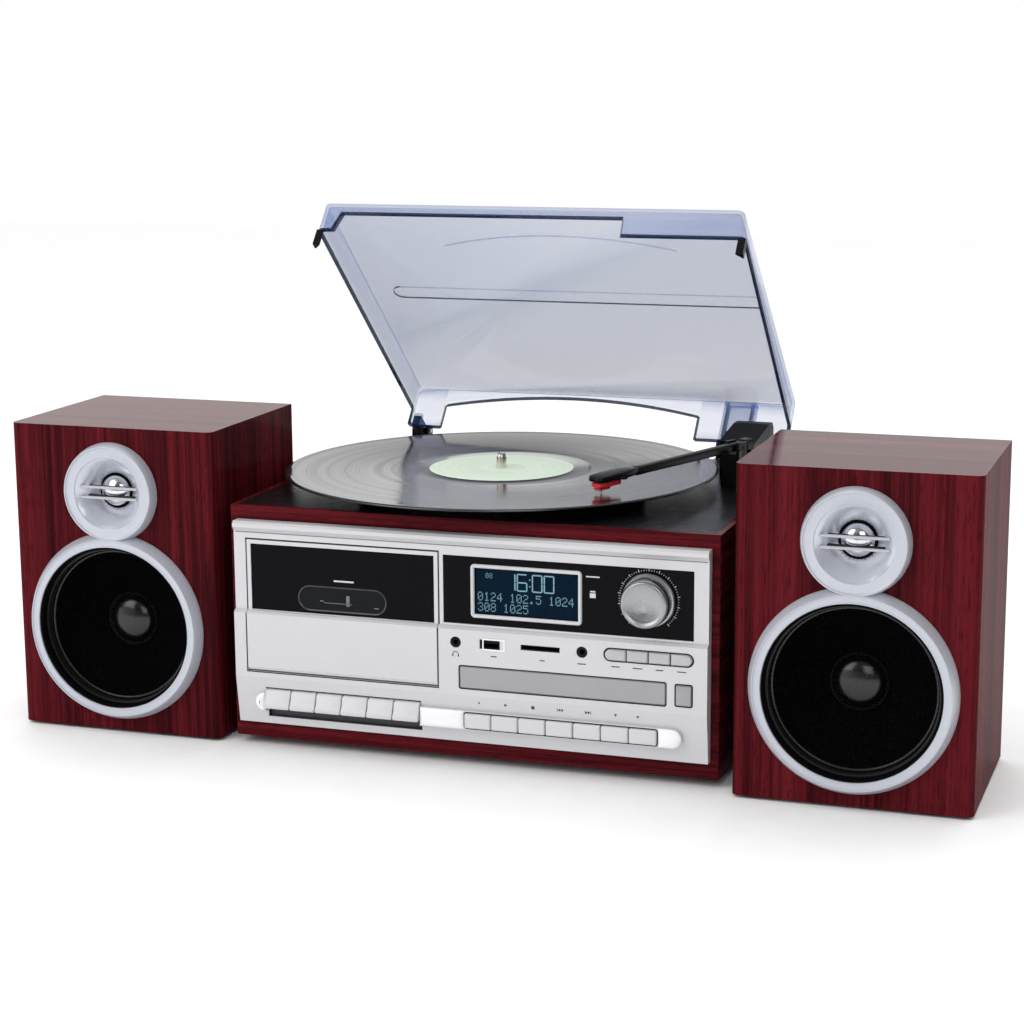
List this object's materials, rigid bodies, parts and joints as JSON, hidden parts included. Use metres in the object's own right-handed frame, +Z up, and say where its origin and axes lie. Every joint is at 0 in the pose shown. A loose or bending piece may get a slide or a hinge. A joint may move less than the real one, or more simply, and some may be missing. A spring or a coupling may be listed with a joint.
{
  "type": "stereo music centre",
  "caption": "Wood-veneered music centre with turntable under a smoked lid, cassette deck, disc tray, radio display and two loudspeakers.",
  "frame": {"origin": "below the centre of the bounding box, on the surface the object stands on", "axes": "+X to the right, +Y to the back, +Z up"},
  "size_m": [0.656, 0.3121, 0.3553],
  "materials": {
    "rosewood": "dark red wood veneer, satin",
    "silver_plastic": "silver satin",
    "key_plastic": "light silver satin",
    "black_gloss": "black gloss",
    "black_matte": "black satin",
    "smoke_lid": "clear blue smoke",
    "vinyl": "black, fine grooves",
    "chrome": "bright",
    "steel": "plain",
    "foot_rubber": "matt",
    "display": "dark blue display",
    "board": "green laminate",
    "iron": "varnished core",
    "brass": "satin",
    "red_plastic": "red",
    "cone_paper": "black woven",
    "trim_silver": "silver satin",
    "driver": "grey"
  },
  "bodies": {
    "music_centre": {"cabinet": "rosewood", "base_plate": "black_matte", "rear_panel": "black_matte", "feet": "foot_rubber", "fascia": "silver_plastic", "display_panel": "black_gloss", "lcd_bezel": "chrome", "lcd_screen": "display", "deck_plate": "black_matte", "drive_belt": "foot_rubber", "turntable_motor": "steel", "tonearm_base": "black_matte", "hinge_bases": "black_matte", "fasteners": "steel", "cassette_mechanism": "black_matte", "cd_drive": "steel", "circuit_boards": "board", "power_transformer": "iron", "rear_terminals": "black_matte", "front_sockets": "steel", "speaker_cabinets": "rosewood", "speaker_trims": "trim_silver", "driver_units": "driver"},
    "turntable": {"platter": "black_matte", "record": "vinyl", "spindle": "chrome"},
    "motor_rotor": {"motor_pulley": "brass"},
    "arm_bearing": {"tonearm_yoke": "black_matte"},
    "arm": {"tonearm": "black_matte", "cartridge": "red_plastic"},
    "cue": {"cue_lever": "black_matte"},
    "speed_selector": {"speed_switch": "black_matte"},
    "lid": {"dust_cover": "smoke_lid", "lid_fittings": "black_matte"},
    "volume": {"volume_knob": "trim_silver"},
    "door": {"cassette_door": "silver_plastic", "door_window": "black_gloss"},
    "supply_hub": {"supply_reel": "silver_plastic"},
    "takeup_hub": {"takeup_reel": "silver_plastic"},
    "tray": {"cd_tray": "silver_plastic"},
    "tape_key_1": {"cassette_key_1": "key_plastic"},
    "tape_key_2": {"cassette_key_2": "key_plastic"},
    "tape_key_3": {"cassette_key_3": "key_plastic"},
    "tape_key_4": {"cassette_key_4": "key_plastic"},
    "tape_key_5": {"cassette_key_5": "key_plastic"},
    "tape_key_6": {"cassette_key_6": "key_plastic"},
    "push_key_1": {"front_key_1": "key_plastic"},
    "push_key_2": {"front_key_2": "key_plastic"},
    "push_key_3": {"front_key_3": "key_plastic"},
    "push_key_4": {"front_key_4": "key_plastic"},
    "push_key_5": {"front_key_5": "key_plastic"},
    "push_key_6": {"front_key_6": "key_plastic"},
    "push_key_7": {"front_key_7": "key_plastic"},
    "push_function_1": {"function_button_1": "key_plastic"},
    "push_function_2": {"function_button_2": "key_plastic"},
    "push_function_3": {"function_button_3": "key_plastic"},
    "push_function_4": {"function_button_4": "key_plastic"},
    "push_disc": {"disc_button": "key_plastic"},
    "left_cone": {"left_woofer_cone": "cone_paper"},
    "right_cone": {"right_woofer_cone": "cone_paper"}
  },
  "joints": [
    {"name": "lid_hinge", "type": "hinge", "parent": "music_centre", "child": "lid", "pos_m": [0, 0.14578, 0.1705], "axis": [1, 0, 0], "range_deg": [0, 41.2]},
    {"name": "platter_spin", "type": "hinge", "parent": "music_centre", "child": "turntable", "pos_m": [-0.021, -0.00322, 0.1742], "axis": [0, 0, 1], "continuous": true},
    {"name": "motor_spin", "type": "hinge", "parent": "music_centre", "child": "motor_rotor", "pos_m": [-0.07898, 0.05476, 0.1586], "axis": [0, 0, 1], "continuous": true},
    {"name": "arm_swing", "type": "hinge", "parent": "music_centre", "child": "arm_bearing", "pos_m": [0.136, 0.03578, 0.19], "axis": [0, 0, 1], "range_deg": [-25.4, 31.45]},
    {"name": "arm_lift", "type": "hinge", "parent": "arm_bearing", "child": "arm", "pos_m": [0.136, 0.03578, 0.19], "axis": [-0.8531, 0.5218, 0], "range_deg": [0, 3.5]},
    {"name": "cue_turn", "type": "hinge", "parent": "music_centre", "child": "cue", "pos_m": [0.1458, 0.04778, 0.174], "axis": [-1, 0, 0], "range_deg": [0, 28]},
    {"name": "speed_slide", "type": "slide", "parent": "music_centre", "child": "speed_selector", "axis": [0, 1, 0], "range_m": [0, 0.012]},
    {"name": "volume_spin", "type": "hinge", "parent": "music_centre", "child": "volume", "pos_m": [0.1228, -0.13922, 0.121], "axis": [0, -1, 0], "continuous": true},
    {"name": "cassette_door_hinge", "type": "hinge", "parent": "music_centre", "child": "door", "pos_m": [-0.085, -0.13952, 0.0572], "axis": [1, 0, 0], "range_deg": [0, 28]},
    {"name": "supply_spin", "type": "hinge", "parent": "music_centre", "child": "supply_hub", "pos_m": [-0.10625, -0.11222, 0.103], "axis": [0, -1, 0], "continuous": true},
    {"name": "takeup_spin", "type": "hinge", "parent": "music_centre", "child": "takeup_hub", "pos_m": [-0.06375, -0.11222, 0.103], "axis": [0, -1, 0], "continuous": true},
    {"name": "tray_slide", "type": "slide", "parent": "music_centre", "child": "tray", "axis": [0, -1, 0], "range_m": [0, 0.135]},
    {"name": "cassette_key_1_tilt", "type": "hinge", "parent": "music_centre", "child": "tape_key_1", "pos_m": [-0.13075, -0.10722, 0.036], "axis": [1, 0, 0], "range_deg": [0, 5], "stiffness_Nm_per_rad": 1, "springref_deg": -3.44},
    {"name": "cassette_key_2_tilt", "type": "hinge", "parent": "music_centre", "child": "tape_key_2", "pos_m": [-0.11245, -0.10722, 0.036], "axis": [1, 0, 0], "range_deg": [0, 5], "stiffness_Nm_per_rad": 1, "springref_deg": -3.44},
    {"name": "cassette_key_3_tilt", "type": "hinge", "parent": "music_centre", "child": "tape_key_3", "pos_m": [-0.09415, -0.10722, 0.036], "axis": [1, 0, 0], "range_deg": [0, 5], "stiffness_Nm_per_rad": 1, "springref_deg": -3.44},
    {"name": "cassette_key_4_tilt", "type": "hinge", "parent": "music_centre", "child": "tape_key_4", "pos_m": [-0.07585, -0.10722, 0.036], "axis": [1, 0, 0], "range_deg": [0, 5], "stiffness_Nm_per_rad": 1, "springref_deg": -3.44},
    {"name": "cassette_key_5_tilt", "type": "hinge", "parent": "music_centre", "child": "tape_key_5", "pos_m": [-0.05755, -0.10722, 0.036], "axis": [1, 0, 0], "range_deg": [0, 5], "stiffness_Nm_per_rad": 1, "springref_deg": -3.44},
    {"name": "cassette_key_6_tilt", "type": "hinge", "parent": "music_centre", "child": "tape_key_6", "pos_m": [-0.03925, -0.10722, 0.036], "axis": [1, 0, 0], "range_deg": [0, 5], "stiffness_Nm_per_rad": 1, "springref_deg": -3.44},
    {"name": "front_key_1_push", "type": "slide", "parent": "music_centre", "child": "push_key_1", "axis": [0, 1, 0], "range_m": [0, 0.0015], "stiffness_N_per_m": 300, "springref_m": -0.001},
    {"name": "front_key_2_push", "type": "slide", "parent": "music_centre", "child": "push_key_2", "axis": [0, 1, 0], "range_m": [0, 0.0015], "stiffness_N_per_m": 300, "springref_m": -0.001},
    {"name": "front_key_3_push", "type": "slide", "parent": "music_centre", "child": "push_key_3", "axis": [0, 1, 0], "range_m": [0, 0.0015], "stiffness_N_per_m": 300, "springref_m": -0.001},
    {"name": "front_key_4_push", "type": "slide", "parent": "music_centre", "child": "push_key_4", "axis": [0, 1, 0], "range_m": [0, 0.0015], "stiffness_N_per_m": 300, "springref_m": -0.001},
    {"name": "front_key_5_push", "type": "slide", "parent": "music_centre", "child": "push_key_5", "axis": [0, 1, 0], "range_m": [0, 0.0015], "stiffness_N_per_m": 300, "springref_m": -0.001},
    {"name": "front_key_6_push", "type": "slide", "parent": "music_centre", "child": "push_key_6", "axis": [0, 1, 0], "range_m": [0, 0.0015], "stiffness_N_per_m": 300, "springref_m": -0.001},
    {"name": "front_key_7_push", "type": "slide", "parent": "music_centre", "child": "push_key_7", "axis": [0, 1, 0], "range_m": [0, 0.0015], "stiffness_N_per_m": 300, "springref_m": -0.001},
    {"name": "function_button_1_push", "type": "slide", "parent": "music_centre", "child": "push_function_1", "axis": [0, 1, 0], "range_m": [0, 0.0015], "stiffness_N_per_m": 250, "springref_m": -0.001},
    {"name": "function_button_2_push", "type": "slide", "parent": "music_centre", "child": "push_function_2", "axis": [0, 1, 0], "range_m": [0, 0.0015], "stiffness_N_per_m": 250, "springref_m": -0.001},
    {"name": "function_button_3_push", "type": "slide", "parent": "music_centre", "child": "push_function_3", "axis": [0, 1, 0], "range_m": [0, 0.0015], "stiffness_N_per_m": 250, "springref_m": -0.001},
    {"name": "function_button_4_push", "type": "slide", "parent": "music_centre", "child": "push_function_4", "axis": [0, 1, 0], "range_m": [0, 0.0015], "stiffness_N_per_m": 250, "springref_m": -0.001},
    {"name": "disc_button_push", "type": "slide", "parent": "music_centre", "child": "push_disc", "axis": [0, 1, 0], "range_m": [0, 0.0015], "stiffness_N_per_m": 250, "springref_m": -0.001},
    {"name": "left_cone_slide", "type": "slide", "parent": "music_centre", "child": "left_cone", "axis": [0, -1, 0], "range_m": [-0.002, 0.002], "stiffness_N_per_m": 1500},
    {"name": "right_cone_slide", "type": "slide", "parent": "music_centre", "child": "right_cone", "axis": [0, -1, 0], "range_m": [-0.002, 0.002], "stiffness_N_per_m": 1500}
  ],
  "couplings": [
    {"joint": "motor_spin", "follows": "platter_spin", "ratio": 11.62},
    {"joint": "cue_turn", "follows": "arm_lift", "ratio": 8}
  ]
}
